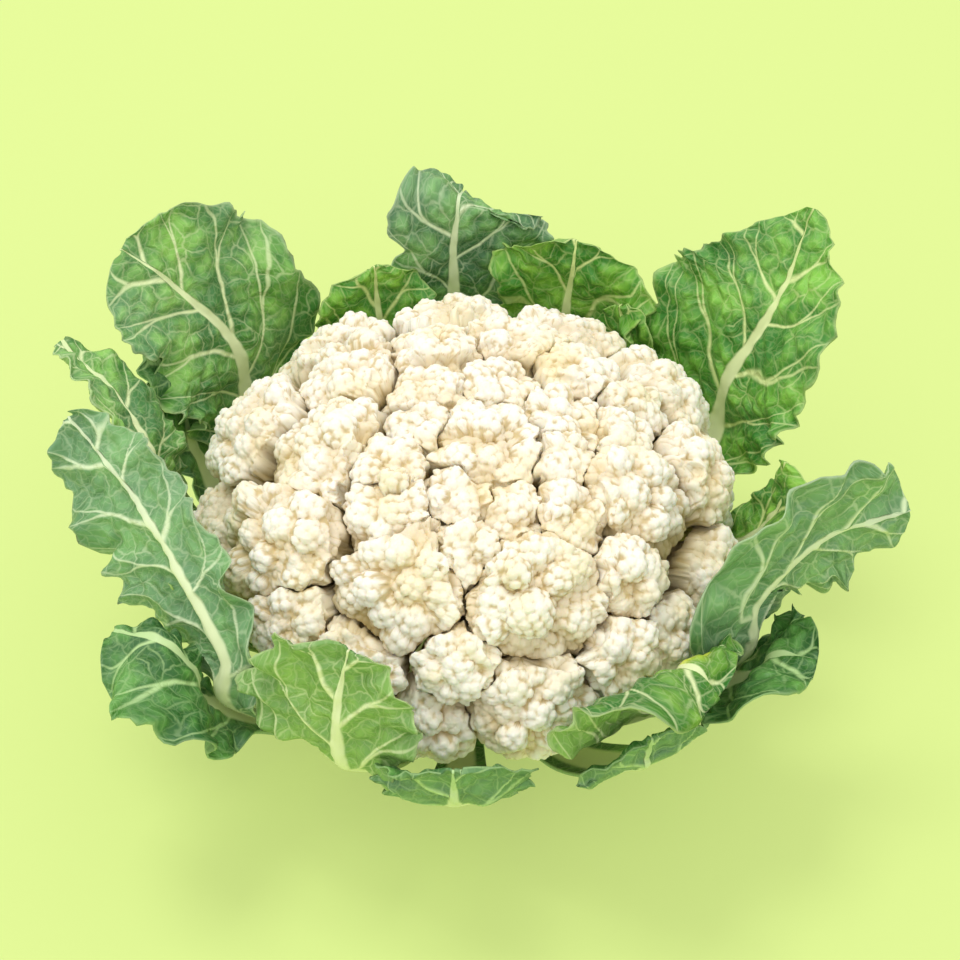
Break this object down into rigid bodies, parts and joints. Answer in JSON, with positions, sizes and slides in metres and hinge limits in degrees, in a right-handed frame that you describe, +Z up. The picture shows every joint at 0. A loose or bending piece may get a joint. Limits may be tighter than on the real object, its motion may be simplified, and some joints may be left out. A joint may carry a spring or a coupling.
{
  "type": "cauliflower",
  "caption": "Head of cauliflower standing on its cut stalk: a domed cream curd of rounded florets, wrapped round its sides by trimmed green leaves.",
  "frame": {"origin": "centre of the stalk's flat cut face, on which the head stands", "axes": "+Z straight up through the head, -Y towards the viewer, +X to the viewer's right"},
  "size_m": [0.2777, 0.2457, 0.1541],
  "materials": {
    "stalk": "moist, fibrous cut stalk, pale green",
    "curd": "matt, finely grained cream flower buds",
    "leaf_inner": "satin, bright yellow-green young leaf",
    "leaf_middle": "satin, mid-green leaf with pale veins",
    "leaf_outer": "satin, dark green leaf with a waxy bloom"
  },
  "bodies": {
    "root": {"floret_01": "curd", "floret_02": "curd", "floret_03": "curd", "floret_04": "curd", "floret_05": "curd", "floret_06": "curd", "floret_07": "curd", "floret_08": "curd", "floret_09": "curd", "floret_10": "curd", "floret_11": "curd", "floret_12": "curd", "floret_13": "curd", "floret_14": "curd", "floret_15": "curd", "floret_16": "curd", "floret_17": "curd", "floret_18": "curd", "floret_19": "curd", "floret_20": "curd", "floret_21": "curd", "floret_22": "curd", "floret_23": "curd", "floret_24": "curd", "floret_25": "curd", "floret_26": "curd", "floret_27": "curd", "floret_28": "curd", "floret_29": "curd", "floret_30": "curd", "floret_31": "curd", "floret_32": "curd", "floret_33": "curd", "floret_34": "curd", "floret_35": "curd", "floret_36": "curd", "floret_37": "curd", "floret_38": "curd", "floret_39": "curd", "floret_40": "curd", "leaf_back": "leaf_outer", "leaf_back_inner_left": "leaf_inner", "leaf_back_inner_right": "leaf_middle", "leaf_back_left": "leaf_middle", "leaf_back_right": "leaf_middle", "leaf_back_small": "leaf_inner", "leaf_front": "leaf_outer", "leaf_front_left": "leaf_middle", "leaf_front_right": "leaf_inner", "leaf_front_right_outer": "leaf_outer", "leaf_left": "leaf_middle", "leaf_left_behind": "leaf_outer", "leaf_left_inner": "leaf_inner", "leaf_left_lower": "leaf_outer", "leaf_left_upper": "leaf_middle", "leaf_right": "leaf_middle", "leaf_right_inner": "leaf_inner", "leaf_right_lower": "leaf_outer", "stalk": "stalk"}
  },
  "joints": []
}
